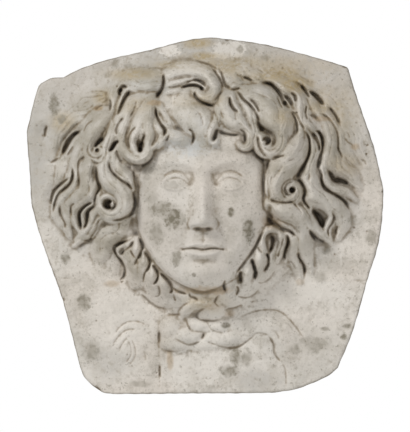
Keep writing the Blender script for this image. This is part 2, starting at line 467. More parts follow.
        "thirdInner": ([(276.5, 95), (279, 103), (282.5, 110)], (0.8, 1.3, 0.7), 7),
        "thirdHollow": ([(284, 96), (289, 101), (292, 106)], (1.5, 2.4, 1.3), 8),
        "thirdNotch": ([(290.5, 93), (294.5, 97), (295.5, 103)], (0.8, 1.8, 0.8), 7),
        "wideSide": ([(289, 111), (294, 118), (296.5, 127), (296, 135)], (0.6, 1.1, 1.1, 0.5), 5),
        "wideDark": ([(256, 119), (258.5, 127), (264, 132), (271, 136), (273, 143), (270, 149)],
            (0.9, 2.0, 3.0, 3.4, 2.4, 1.0), 9),
        "wideLeft": ([(257, 136), (258, 146), (262, 154), (267, 159)], (1.2, 1.5, 1.6, 1.0), 6),
        "wideFoot": ([(272, 158), (278, 157.5), (284, 156)], (0.6, 1.0, 0.5), 3),
        "fourthTop": ([(300, 85), (304.5, 90.5), (310, 98)], (1.0, 1.6, 1.0), 9),
        "fourthDark": ([(309, 91), (316, 96.5), (323.5, 105)], (1.2, 2.6, 1.3), 11),
        "fourthInner": ([(306.5, 105), (305, 113), (307, 121)], (0.6, 1.3, 0.7), 5),
        "fourthSoft": ([(310, 115), (315, 118), (316, 120)], (1.4, 1.6, 0.8), 3),
        "outerDark": ([(329, 107.5), (335, 115), (339.5, 124)], (0.8, 1.1, 0.6), 5),
        "outerLong": ([(318, 113), (326, 117), (332, 123.5), (336.5, 132), (337.5, 142), (338, 150),
            (343, 159)], (0.6, 0.9, 0.9, 0.9, 0.8, 0.6, 0.9), 4),
        "outerFirst": ([(345, 138), (348, 142.5), (353, 145)], (0.5, 0.8, 0.5), 2),
        "outerSecond": ([(346, 131), (349, 136), (350, 139)], (0.4, 0.7, 0.4), 1.5),
        "outerLast": ([(362, 159), (365, 162), (366, 166)], (0.5, 0.9, 0.5), 2),
        "gapFirst": ([(304, 131), (308, 138), (309, 146), (308, 155), (304, 164), (300, 171), (296, 178)],
            (0.7, 1.2, 1.1, 1.2, 1.3, 2.0, 2.0), 8),
        "gapSecond": ([(311, 132), (315.5, 139), (318.5, 146), (318.5, 153)], (1.2, 2.3, 1.5, 0.8), 10),
        "gapThird": ([(312, 131), (318, 132.5), (321.5, 139), (322, 149), (320, 156), (318.5, 163),
            (316, 169)], (0.8, 1.2, 1.4, 1.2, 1.8, 3.0, 1.4), 8),
        "gapFourth": ([(317, 168), (320.5, 174), (321, 181), (323.5, 188), (330, 192.5), (337, 196),
            (344, 201.5), (349, 210)], (1.2, 1.0, 1.2, 2.0, 1.1, 0.9, 1.2, 0.8), 7),
        "wingDark": ([(327.5, 170), (331, 176), (334, 180), (341, 180.5), (349, 184)],
            (0.9, 2.2, 2.6, 2.2, 1.0), 9),
        "curlRight": ([(297, 178.5), (302, 185), (304.5, 192), (302.5, 199), (306.5, 206), (312, 212)],
            (1.4, 1.2, 1.6, 1.4, 1.0, 1.0), 7),
        "sweepHollow": ([(311.5, 210), (316, 215), (320, 220.5), (323, 227.5)], (1.5, 3.4, 3.2, 1.0), 15),
        "sweepInner": ([(331, 211.5), (333.5, 217.5), (331, 224), (327.5, 230), (329, 237)],
            (0.7, 1.3, 1.0, 1.0, 0.6), 6),
        "sweepOuter": ([(338, 225.5), (336, 230), (336, 235)], (0.5, 0.9, 0.5), 3.5),
        "neckDark": ([(308.5, 229), (312, 235), (317, 239.5), (325, 242)], (1.0, 2.2, 1.8, 0.6), 11),
        "lockFine": ([(308.5, 174), (308, 180), (309.5, 186)], (0.4, 0.6, 0.4), 2),
        "cheekTop": ([(268, 199), (275, 202), (285, 203), (292, 201.5)], (1.6, 1.3, 1.0, 0.6), 5),
        "cheekFine": ([(292, 203), (297, 208), (302, 214)], (0.6, 0.9, 0.5), 3),
        "faceRight": ([(266, 160), (267.5, 170), (266.5, 182), (268, 194), (268, 203)],
            (1.0, 1.3, 1.2, 1.6, 1.8), 5),
        "faceBeside": ([(271, 176), (269.5, 184), (269.5, 193)], (0.5, 0.9, 0.7), 3),
        "cheekShadow": ([(268, 205), (270, 214), (270, 222), (268, 229)], (2.4, 3.2, 3.6, 2.4), 5),
        "cheekFold": ([(266, 216), (271, 222), (279, 228), (289, 231), (296, 237)],
            (1.8, 3.4, 3.0, 1.8, 0.8), 8),
        "cheekLine": ([(268, 211), (275, 218), (284, 223), (293, 227)], (0.6, 1.0, 0.9, 0.4), 1.8),
        "jawLeftFirst": ([(136, 236), (128, 241), (120, 243.5), (114.5, 247), (116.5, 254), (122, 262),
            (125, 269), (124, 276), (119, 281)], (0.9, 1.1, 1.4, 1.7, 1.1, 1.0, 1.2, 1.3, 0.6), 6),
        "jawLeftSecond": ([(135, 240), (131, 246), (125.5, 250), (121.5, 254.5)], (0.6, 1.1, 1.1, 0.7),
            4.5),
        "jawLeftThird": ([(130, 248), (133, 254), (137, 259), (134.5, 266)], (0.5, 0.7, 0.9, 0.5), 3),
        "jawLeftFourth": ([(140, 238), (143.5, 246), (141, 253), (137, 260)], (0.8, 1.2, 0.9, 0.6), 4),
        "jawLeftFifth": ([(143.5, 249), (147, 255), (150.5, 261), (149, 267), (145, 273), (143.5, 282)],
            (0.8, 1.2, 1.6, 1.2, 1.0, 0.5), 5),
        "jawLeftSixth": ([(151, 263), (155, 268), (158.5, 274), (157, 280), (153, 284.5)],
            (0.8, 1.2, 1.2, 0.9, 0.6), 5),
        "jawLeftSeventh": ([(159, 272), (165, 277), (170.5, 284), (172, 290), (168, 293.5)],
            (0.8, 1.1, 1.6, 1.8, 0.8), 6),
        "jawLeftEighth": ([(173, 292), (174.5, 297), (176, 301)], (0.6, 1.0, 0.5), 3),
        "chinLeft": ([(171, 286), (178, 291), (187, 293.5)], (0.7, 1.8, 0.7), 5),
        "chinGap": ([(189, 292), (190.5, 296), (195, 297.5), (199, 301)], (0.5, 1.0, 0.9, 0.5), 3),
        "jawLeftNinth": ([(158, 284.5), (160, 290), (159, 295), (154, 297)], (0.5, 0.7, 0.6, 0.5), 2.5),
        "jawLeftLast": ([(142, 295), (150, 302), (157, 307), (166, 308.5)], (0.6, 1.0, 1.0, 0.5), 2),
        "jawRightEdge": ([(265, 226), (261, 234), (256, 244), (250, 254), (244, 262), (238, 270),
            (234, 278)], (1.6, 1.4, 1.3, 1.7, 1.5, 1.3, 0.8), 6),
        "jawRightFirst": ([(265, 252), (268, 258), (267, 266), (263, 271)], (0.9, 1.3, 1.2, 0.6), 6),
        "jawRightSecond": ([(251, 258), (253, 265), (255, 271), (254, 279)], (0.9, 1.3, 2.2, 1.8), 8),
        "jawRightThird": ([(262, 253), (259, 250), (256, 246)], (0.5, 0.9, 0.5), 4),
        "jawRightFourth": ([(270, 235), (272.5, 239), (271.5, 246), (269.5, 252)], (1.0, 2.0, 1.6, 0.6), 8),
        "jawRightFifth": ([(283, 236), (281, 245), (278.5, 253), (277.5, 259)], (0.6, 1.0, 1.5, 0.9), 6),
        "jawRightSixth": ([(286, 233), (288, 241), (285.5, 248), (284, 254), (285, 260)],
            (0.8, 1.4, 1.2, 1.2, 0.6), 7),
        "jawRightSeventh": ([(298, 252), (298.5, 257), (303, 264), (304.5, 270), (304, 275)],
            (1.0, 1.0, 0.8, 1.2, 0.6), 5),
        "jawRightEighth": ([(290, 260), (294, 266), (295.5, 270)], (0.5, 0.8, 0.4), 2),
        "jawRightNinth": ([(255, 281), (262, 282.5), (270, 278), (275, 270)], (0.6, 0.7, 0.7, 0.4), 2),
        "jawRightTenth": ([(235, 295), (245, 297.5), (253, 295), (259, 289)], (0.6, 0.9, 0.8, 0.4), 2),
        "jawRightInner": ([(225, 279), (223.5, 285), (225.5, 291)], (0.8, 1.3, 1.0), 4.5),
        "jawRightSpot": ([(236, 285), (238, 289), (236, 295)], (1.0, 1.5, 0.8), 4),
        "jawRightLow": ([(240, 270), (240, 276), (241, 282)], (1.2, 1.8, 1.6), 5),
        "jawRightLast": ([(227, 308.5), (235, 307.5), (242, 304)], (0.6, 0.8, 0.4), 2),
        "chinRight": ([(219, 294), (215.5, 299), (215, 303), (220, 307)], (0.5, 0.9, 1.0, 0.5), 3),
    },
    # Spiral channels of the curls: start, eye, turns, last radius, half width and depth
    "coils": {
        "leftSmallInner": ((93, 142), (98, 151), -1.35, 2.2, 1.1, 4),
        "leftSmallOuter": ((88.5, 145), (98, 151), -0.7, 9.0, 0.8, 2.5),
        "leftGreat": ((112, 198.5), (108.5, 204.5), 0.35, 6.5, 1.1, 4),
        "rightWideInner": ((266, 130), (266, 141), 0.6, 8.0, 1.0, 3),
        "rightWideMiddle": ((262, 127), (266, 141), 0.55, 11.0, 0.9, 2.5),
        "rightWideOuter": ((280, 133), (266, 141), 0.25, 15.0, 0.8, 2),
        "rightSecondInner": ((294, 182.5), (291, 190), -0.5, 6.5, 0.9, 3.5),
        "rightSecondOuter": ((294, 180.5), (291, 190), -0.5, 10.0, 0.9, 3.5),
    },
    "drilledEyes": {
        "leftSmall": (98, 151, 2.2, 5),
        "leftGreat": (108.4, 203.8, 6.0, 9),
        "browLeft": (141.5, 150.5, 2.2, 4),
        "crown": (202, 90, 2.0, 5),
        "rightWide": (266, 141.5, 4.8, 9),
        "wideTip": (263.6, 143.2, 2.2, -7),
        "rightSecond": (291.5, 190, 3.3, 9),
        "rightTop": (284, 104, 2.6, 4),
        "wave": (121, 91, 2.2, 4),
        "greatTip": (112.4, 204.8, 3.0, -8),
    },
}


def lockLayer(line, half, crest, lift, strands, eye=None, turns=0.0, stop=2.0, sink=0.0):
    # The lock's height over the mass of hair, and how deep its strands are parted
    path, halves = smoothLine(line, half)
    if eye:
        curl, narrowing = spiral(path[-1], halves[-1], eye, turns, stop)
        path = np.vstack([path, curl])
        halves = np.concatenate([halves, narrowing])
    layer = np.full_like(gridX, -1e3)
    comb = np.zeros_like(gridX)
    for window, offset, share, width in bands(path, halves):
        section = np.clip(1 - np.abs(offset) ** 2.1, 0, 1) ** 0.8
        size = np.clip(width / halves.max(), 0.2, 1) ** 0.8
        root = 0.55 + 0.45 * smoothstep(0, 0.12, share)
        raised = lift + crest * section * size * root - sink * smoothstep(0.45, 1.0, share)
        height = np.where(np.abs(offset) < 1, raised, -1e3)
        sway = 0.25 * np.sin(7.5 * share) + 0.12 * np.sin(17 * share + strands)
        parted = 1 - np.abs(np.sin(0.5 * math.pi * strands * (offset + 1 + sway))) ** 0.7
        fine = 0.4 * (0.5 + 0.5 * np.cos(width * 2.6 * (offset + sway)))
        furrow = (parted * min(strands, 1) + fine) * section ** 0.5 * smoothstep(0.02, 0.15, share)
        comb[window] = np.where(height > layer[window], furrow, comb[window])
        layer[window] = np.maximum(layer[window], height)
    return layer, comb


def groove(path, halves):
    # A channel along a path, from 0 beside it to 1 at its bottom, with a long slope down to it on one side
    cut = np.zeros_like(gridX)
    for window, offset, share, half in bands(path, halves, 6.0):
        ends = np.clip(np.minimum(share, 1 - share) / 0.16, 0, 1) ** 0.6
        slope = np.minimum(np.where(offset > 0, 3.4, 1.3) * hair["slopeWidth"], hair["slopeReach"] / half)
        bed = (1 - hair["slopeShare"]) * np.exp(-1.2 * np.abs(offset) ** 3)
        profile = bed + hair["slopeShare"] * np.exp(-0.5 * (offset / slope) ** 2)
        cut[window] = np.maximum(cut[window], profile * ends)
    return cut


def drilledEye(centreX, centreY, radius, depth):
    away = np.hypot(gridX - centreX, gridY - centreY) / radius
    return depth * (1 - smoothstep(0.55, 1.15, away))


# The knot below the chin, as pads (centre, half sizes, turn in degrees, height), its ribbons and their folds
ornament = {
    "knot": [(196, 327, 38, 25, 3, 4), (171, 328, 12, 13, 8, 8), (214, 340, 33, 9.5, -8, 6),
             (216, 326, 13, 10, 10, 8), (197, 324.5, 14, 10, 14, 9), (176, 343.5, 16, 9, 6, 8),
             (189, 335, 17, 10.5, -10, 10), (210, 314, 15, 7.5, 3, 9)],
    "loop": {
        "line": [(182, 317), (187, 310), (196, 305), (207, 304.5), (217, 308), (225, 314)],
        "half": (4, 6, 6, 5.5, 5, 3),
        "rise": 9,
    },
    "foldShare": 0.8,
    "ribbonRise": {"right": 1.9, "left": 1.2},
    "ribbons": {
        "right": ([(205, 332), (222, 333), (243, 329), (262, 322), (277, 326), (287, 340), (291, 357),
            (293, 374)], (8, 14, 14, 12, 12, 13, 11, 8)),
        "left": ([(172, 328), (155, 332), (140, 336), (128, 347), (124, 362)], (9, 12, 14, 15, 13)),
    },
    "folds": {
        "knotLoop": ([(177, 315), (180, 309), (186, 303.5), (193, 301), (201, 300.5), (210, 302.5),
            (217, 307), (224, 312)], (0.6, 1.0, 0.9, 0.8, 0.8, 0.8, 0.8, 0.5), 2),
        "knotEye": ([(206, 307), (200, 310.5), (196.5, 315), (199, 319), (206, 320.5), (215, 320.5),
            (222, 319)], (0.5, 0.9, 1.0, 0.9, 0.7, 0.7, 0.5), 3),
        "knotFirst": ([(186, 319), (188, 325), (191, 330), (197, 331.5), (206, 332)],
            (0.6, 1.0, 1.7, 1.0, 0.6), 3.5),
        "knotSecond": ([(207, 320), (209, 326), (213, 330.5), (224, 333)], (0.5, 0.6, 0.8, 0.7), 2.5),
        "knotDark": ([(203.5, 333), (203, 336), (202, 339)], (1.0, 1.6, 1.0), 5),
        "knotThird": ([(175, 338.5), (183, 342.5), (188, 344.5), (194, 343.5), (202, 340.5)],
            (0.5, 0.8, 1.0, 1.0, 0.8), 3),
        "knotFourth": ([(163, 349.5), (169, 351), (176, 351), (184, 349), (188, 346)],
            (0.5, 0.9, 0.9, 0.8, 0.4), 2.5),
        "knotSlot": ([(168, 314.5), (174, 314.7), (180, 314.5)], (0.8, 0.9, 0.6), 2.5),
        "ribbonTop": ([(241, 317), (250, 313), (262, 310), (275, 310), (284, 314), (290, 320), (296, 327),
            (303, 337), (308, 345)], (0.6, 0.9, 0.7, 0.7, 1.0, 0.9, 1.0, 0.7, 0.4), 2),
        "ribbonSecond": ([(252, 316), (262, 313), (274, 313.5), (283, 318), (291, 327), (299, 339)],
            (0.4, 0.7, 0.7, 0.7, 0.7, 0.4), 1.2),
        "ribbonLow": ([(204, 340), (212, 343.5), (222, 346.5), (232, 348), (240, 346), (246, 342),
            (251, 338), (257, 334)], (0.5, 0.8, 0.8, 1.0, 1.2, 1.2, 0.9, 0.5), 3),
        "ribbonUp": ([(250, 337), (256, 333.5), (262, 333), (268, 335)], (0.5, 0.7, 0.7, 0.4), 1.8),
        "ribbonFold": ([(275, 331), (278, 336), (279.5, 340)], (0.5, 0.9, 0.4), 1.8),
        "ribbonCut": ([(269, 336), (272, 341), (274, 346), (274, 351), (276, 356), (281, 362)],
            (0.5, 0.9, 1.4, 1.3, 1.0, 0.5), 4),
        "ribbonTail": ([(282, 362), (285, 369), (286, 378), (286, 388)], (0.5, 0.9, 0.9, 0.5), 2),
        "leftTop": ([(147, 326), (141, 322.5), (133, 321), (125, 323), (118, 329), (114, 335)],
            (0.4, 0.8, 0.8, 0.8, 0.7, 0.4), 2.0),
        "leftFirst": ([(112, 346), (115, 341), (120, 335), (127, 330), (138, 328.5)],
            (0.5, 0.8, 0.8, 0.8, 0.4), 2.0),
        "leftSecond": ([(119, 350), (121.5, 345), (126, 339), (131, 335)], (0.5, 0.8, 0.8, 0.4), 2.0),
        "leftThird": ([(127, 339), (131, 347), (130.5, 356), (125, 364)], (0.4, 0.8, 0.8, 0.4), 2.2),
        "leftFourth": ([(131, 338), (135, 348), (134.5, 358), (128, 366)], (0.4, 0.8, 0.8, 0.4), 2.2),
        "leftFifth": ([(145, 351), (146, 357), (145, 360)], (0.4, 0.7, 0.4), 1.0),
        "seamFaint": ([(158.5, 318), (158.5, 345), (159.5, 362), (159.5, 390)], (0.5, 0.5, 0.5, 0.5), 1.2),
        "seamUpper": ([(159.5, 331), (159, 338), (159.5, 343)], (0.5, 1.2, 0.5), 5),
        "seamLower": ([(160, 365), (159.5, 371), (160, 378)], (0.5, 1.1, 0.6), 5),
        "crackRight": ([(353, 281), (358, 280.2), (363, 280.8), (368, 279.5)], (0.3, 0.6, 0.4, 0.5), 1.6),
        "crackLower": ([(357, 283.5), (362, 283), (366, 283.4)], (0.3, 0.5, 0.3), 1.2),
        "crackLeft": ([(53, 277.5), (59, 278.5), (65, 278), (71, 279)], (0.3, 0.5, 0.5, 0.3), 1.2),
    },
}


def pillow(height, ground, inside, centreX, centreY, halfX, halfY, turn, top):
    cosine, sine = math.cos(math.radians(turn)), math.sin(math.radians(turn))
    across = ((gridX - centreX) * cosine + (gridY - centreY) * sine) / halfX
    along = (-(gridX - centreX) * sine + (gridY - centreY) * cosine) / halfY
    away = np.sqrt(across * across + along * along)
    pad = ground + top * np.clip(1 - away ** 2.6, 0, 1) ** 0.7
    taken = (away < 1) & ~(inside & (height > pad))
    return np.where(taken, np.maximum(height, pad), height)


def ribbonLayer(guides, halves, rise):
    path, width = smoothLine(guides, halves)
    layer = np.zeros_like(gridX)
    for window, offset, share, _ in bands(path, width):
        ends = smoothstep(0, 0.04, share) * smoothstep(1.0, 0.5, share)
        flat = np.clip(1 - np.abs(offset) ** 2.4, 0, 1) ** 0.8
        folds = 0.1 * np.cos(3 * math.pi * offset + 4 * share)
        folds = folds + 0.12 * np.cos(7 * math.pi * (offset + 0.3 * share))
        band = rise * ends * (flat - folds)
        layer[window] = np.maximum(layer[window], np.where(np.abs(offset) < 1, band, 0))
    return layer


def relief():
    # Depth of the front above the flat back, in squares
    middle, reach = hair["middle"], hair["reach"]
    reachX = np.where(gridX < middle[0], reach["left"], reach["right"])
    reachY = np.where(gridY < middle[1], reach["up"], reach["down"])
    away = np.hypot((gridX - middle[0]) / reachX, (gridY - middle[1]) / reachY)
    mass = hair["depth"] * (0.5 + 0.5 * np.cos(math.pi * np.clip(away, 0, 1))) ** 0.62
    jaw = hair["jaw"]
    roundJaw = np.hypot((gridX - face["x"]) / jaw["halfX"], (gridY - jaw["centreY"]) / jaw["halfY"])
    mass = np.maximum(mass, jaw["depth"] * (1 - smoothstep(1.0, 1.4, roundJaw)) * smoothstep(205, 240, gridY))
    ground = slabGround()
    under = ground + mass - 3 * np.clip(1 - away ** 3, 0, 1) * smoothstep(250, 215, gridY)
    form, inside, openFace = faceField()
    behind = np.where(gridY > 140, under - 8, under)
    height = np.where(inside, np.maximum(ground + form, behind), under)
    fade = hair["rimShare"] + (1 - hair["rimShare"]) * smoothstep(1.04, 0.72, away)
    comb = np.zeros_like(gridX)
    haired = np.zeros_like(gridX)
    for lock in hair["locks"].values():
        layer, furrow = lockLayer(*lock)
        raised = ground + mass + layer * fade
        onTop = (layer > -500) & (raised > height)
        height = np.where(onTop, raised, height)
        comb = np.where(onTop, furrow * fade, comb)
        haired = np.where(onTop, smoothstep(1.1, 0.85, away), haired)
    height = np.where(openFace, height, np.maximum(blur(height, 0.8), blur(height, 3.5) - 2.4))
    # At the upper edge of the hair the locks run out into the slab without a step
    apron = np.maximum(blur(height, 4.5) - 0.6, blur(height, 9.0) - 1.6)
    outside = (1 - smoothstep(0.02, 0.5, haired)) * smoothstep(150, 110, gridY) * ~inside
    height = np.maximum(height, height + (apron - height) * outside)
    soft = blur(haired, 1.5)
    melt = np.clip(4 * soft * (1 - soft), 0, 1) * smoothstep(160, 115, gridY) * ~inside
    height = height + (blur(height, 1.8) - height) * melt
    height = height + (blur(height, 2.4) - height) * bump(187, 149, 26, 7, 1.0)
    height = height - hair["strandDepth"] * comb
    for side, ribbon in ornament["ribbons"].items():
        height = np.maximum(height, ground + ribbonLayer(*ribbon, ornament["ribbonRise"][side]))
    for pad in ornament["knot"]:
        height = pillow(height, ground + mass, inside, *pad)
    loop = ornament["loop"]
    for window, offset, share, width in bands(*smoothLine(loop["line"], loop["half"])):
        section = np.clip(1 - np.abs(offset) ** 2.4, 0, 1) ** 0.6
        arch = (ground + mass)[window] + loop["rise"] * section * np.clip(width / 6, 0, 1)
        over = (np.abs(offset) < 1) & ~inside[window]
        height[window] = np.where(over, np.maximum(height[window], arch), height[window])
    knotted = bump(196, 326, 44, 30, 1.0)
    height = np.where(inside, height, height + (blur(height, 1.6) - height) * np.clip(2.5 * knotted, 0, 1))
    channels = np.zeros_like(gridX)
    for guides, halves, depth in hair["channels"].values():
        channels = np.maximum(channels, depth * hair["channelShare"] * groove(*smoothLine(guides, halves)))
    for guides, halves, depth in ornament["folds"].values():
        channels = np.maximum(channels, depth * ornament["foldShare"] * groove(*smoothLine(guides, halves)))
    for start, eye, turns, stop, half, depth in hair["coils"].values():
        channels = np.maximum(channels, depth * groove(*spiral(start, half, eye, turns, stop)))
    height = height - channels
    for eye in hair["drilledEyes"].values():
        height = height - drilledEye(*eye)
    height = np.maximum(height, ground + 0.8 * np.minimum(mass, 6) - 6)
    return height, ground, openFace, blur(haired, 3.0)


def weather(height, ground, openFace):
    # Worn skin of the stone: soft unevenness, pits and small chips, least on the face
    calm = np.where(blur(openFace.astype(float), 3) > 0.5, 0.45, 1.0)
    uneven = 0.12 * roughField(1.0) + 0.22 * roughField(3.0) + 0.35 * roughField(9.0)
    worn = blur(height, 0.5) + calm * uneven
    pits = np.clip(roughField(0.9) - 2.3, 0, 2)
    worn = worn - 0.7 * pits * calm
    for x, y, radius, depth in slab["chips"]:
        away = np.hypot(gridX - x, gridY - y) / radius
        worn = worn - depth * np.clip(1 - away ** 2 + 0.25 * roughField(1.5), 0, 1)
    return worn


def hollows(height):
    # Where dirt gathers: how far the surface lies below its surroundings, from 0 to 1
    narrow = np.clip(blur(height, 1.3) - height, 0, None) * 0.75
    middle = np.clip(blur(height, 3.2) - height - 0.3, 0, None) * 0.11
    wide = np.clip(blur(height, 9.0) - height - 1.0, 0, None) * 0.014
    deep = blur(narrow + middle + wide, 0.45)
    return deep / (deep + 0.55)


def ridges(height):
    # Where handling has rubbed the stone pale: narrow crests
    return np.clip(0.5 * (height - blur(height, 2.2)), 0, 1)


def sample(field, x, y):
    column = np.clip((x - sketch["left"]) / sketch["cell"], 0, field.shape[1] - 1.001)
    row = np.clip((y - sketch["top"]) / sketch["cell"], 0, field.shape[0] - 1.001)
    c, r = column.astype(int), row.astype(int)
    u, v = column - c, row - r
    upper = field[r, c] * (1 - u) + field[r, c + 1] * u
    lower = field[r + 1, c] * (1 - u) + field[r + 1, c + 1] * u
    return upper * (1 - v) + lower * v


def carvedSheet(height):
    # A square sheet drawn out to the slab's edge and raised by the relief
    mesh = bpy.data.meshes.new("carvedSheet")
    bm = bmesh.new()
    bmesh.ops.create_grid(bm, x_segments=sketch["sheetCells"], y_segments=sketch["sheetCells"], size=1.0)
    bm.to_mesh(mesh)
    bm.free()
    places = np.empty(len(mesh.vertices) * 3)
    mesh.vertices.foreach_get("co", places)
    places = places.reshape(-1, 3)
    ring = np.max(np.abs(places[:, :2]), axis=1)
    direction = np.arctan2(-places[:, 1], places[:, 0])
    angle, radius = edgeByAngle()
    ragged = 0.18 * np.sin(37 * direction) * np.sin(23 * direction + 1) + 0.12 * np.sin(91 * direction)
    edge = np.interp(direction, angle, radius, period=2 * math.pi) + ragged - 0.3
    x = sketch["centre"][0] + ring * edge * np.cos(direction)
    y = sketch["centre"][1] + ring * edge * np.sin(direction)
    fromEdge = (1 - ring) * edge
    soft = slab["arris"] * (1 + 0.35 * np.sin(19 * direction) * np.sin(7 * direction + 2))
    worn = np.clip(1 - fromEdge / soft, 0, 1)
    depth = sample(height, x, y) - 0.6 * soft * worn ** 2
    square = sketch["square"]
    places = np.column_stack([(x - sketch["centre"][0]) * square, -depth * square,
                              (sketch["centre"][1] - y) * square])
    mesh.vertices.foreach_set("co", places.ravel())
    mesh.update()
    return bpy.data.objects.new("carvedSheet", mesh)


def carvePlaque():
    height, ground, openFace, haired = relief()
    print("relief drawn")
    height = weather(height, ground, openFace)
    sheet = carvedSheet(height)
    bpy.context.scene.collection.objects.link(sheet)
    thinner = sheet.modifiers.new("thinOut", "DECIMATE")
    thinner.ratio = sketch["triangles"] / (2 * sketch["sheetCells"] ** 2)
    bpy.context.view_layer.update()
    thinned = bpy.data.meshes.new_from_object(sheet.evaluated_get(bpy.context.evaluated_depsgraph_get()))
    bpy.data.objects.remove(sheet)
    bm = bmesh.new()
    bm.from_mesh(thinned)
    border = [edge for edge in bm.edges if edge.is_boundary]
    for edge in border:
        edge.smooth = False
    made = bmesh.ops.extrude_edge_only(bm, edges=border)["geom"]
    for item in made:
        if isinstance(item, bmesh.types.BMVert):
            item.co.y = 0.0
    back = [edge for edge in bm.edges if edge.is_boundary]
    for edge in back:
        edge.smooth = False
    bmesh.ops.contextual_create(bm, geom=back)
    bmesh.ops.recalc_face_normals(bm, faces=bm.faces)
    for side in bm.faces:
        side.smooth = True
    body = bpy.data.meshes.new("carvedPlaque")
    bm.to_mesh(body)
    bm.free()
    bpy.data.meshes.remove(thinned)
    places = np.empty(len(body.vertices) * 3)
    body.vertices.foreach_get("co", places)
    places = places.reshape(-1, 3) / sketch["square"]
    x, y = places[:, 0] + sketch["centre"][0], sketch["centre"][1] - places[:, 2]
    front = -places[:, 1] > 1.0
    angle, radius = edgeByAngle()
    across, down = x - sketch["centre"][0], y - sketch["centre"][1]
    inwards = np.interp(np.arctan2(down, across), angle, radius, period=2 * math.pi) - np.hypot(across, down)
    rim = body.attributes.new("rim", "FLOAT", "POINT")
    rim.data.foreach_set("value", (smoothstep(slab["dirtyRim"], 0.4, inwards) * front).astype(np.float32))
    for name, field in (("hollow", hollows(height)), ("grime", haired), ("ridge", ridges(height))):
        layer = body.attributes.new(name, "FLOAT", "POINT")
        layer.data.foreach_set("value", np.where(front, sample(field, x, y), 0).astype(np.float32))
    piece = bpy.data.objects.new("carvedPlaque", body)
    bpy.context.scene.collection.objects.link(piece)
    print("plaque carved:", len(body.polygons), "faces")
    return piece


class Socket:
    # A node's output, so that arithmetic on it adds Math nodes
    def __init__(self, maker, link):
        self.maker = maker
        self.link = link

    def maths(self, operation, *others):
        return self.maker.node("ShaderNodeMath", {"operation": operation}, (self,) + others)

    def __add__(self, other):
        return self.maths("ADD", other)

    def __mul__(self, other):
        return self.maths("MULTIPLY", other)

    def __sub__(self, other):
        return self.maths("SUBTRACT", other)

    def __rsub__(self, other):
        return self.maker.node("ShaderNodeMath", {"operation": "SUBTRACT"}, (other, self))

    __radd__ = __add__
    __rmul__ = __mul__


class Maker:
    def __init__(self, name):
        self.material = bpy.data.materials.new(name)
        self.material.use_nodes = True
        self.tree = self.material.node_tree
        self.shader = self.tree.nodes["Principled BSDF"]

    def node(self, kind, settings, inputs, output=0):
        made = self.tree.nodes.new(kind)
        for key, value in settings.items():
            setattr(made, key, value)
        pairs = inputs.items() if isinstance(inputs, dict) else enumerate(inputs)
        for key, value in pairs:
            self.feed(made.inputs[key], value)
        return Socket(self, made.outputs[output])

    def feed(self, socket, value):
        if isinstance(value, Socket):
            self.tree.links.new(value.link, socket)
        else:
            socket.default_value = value

    def attribute(self, name):
        return self.node("ShaderNodeAttribute", {"attribute_name": name}, (), "Fac")

    def vector(self, operation, inputs, output=0):
        return self.node("ShaderNodeVectorMath", {"operation": operation}, inputs, output)

    def ramp(self, value, low, high, start=0.0, stop=1.0):
        smooth = {"interpolation_type": "SMOOTHSTEP"}
        return self.node("ShaderNodeMapRange", smooth, (value, low, high, start, stop))

    def noise(self, place, scale, detail=3.0, rough=0.55):
        inputs = {"Vector": place, "Scale": scale, "Detail": detail, "Roughness": rough}
        return self.node("ShaderNodeTexNoise", {}, inputs)

    def mix(self, share, first, second):
        return self.node("ShaderNodeMix", {"data_type": "RGBA"}, {0: share, 6: first, 7: second}, 2)


def colour(red, green, blue):
    # A colour as the eye reads it on a screen, from 0 to 255, turned to the shader's own scale
    return tuple((c / 255) ** 2.2 for c in (red, green, blue)) + (1.0,)


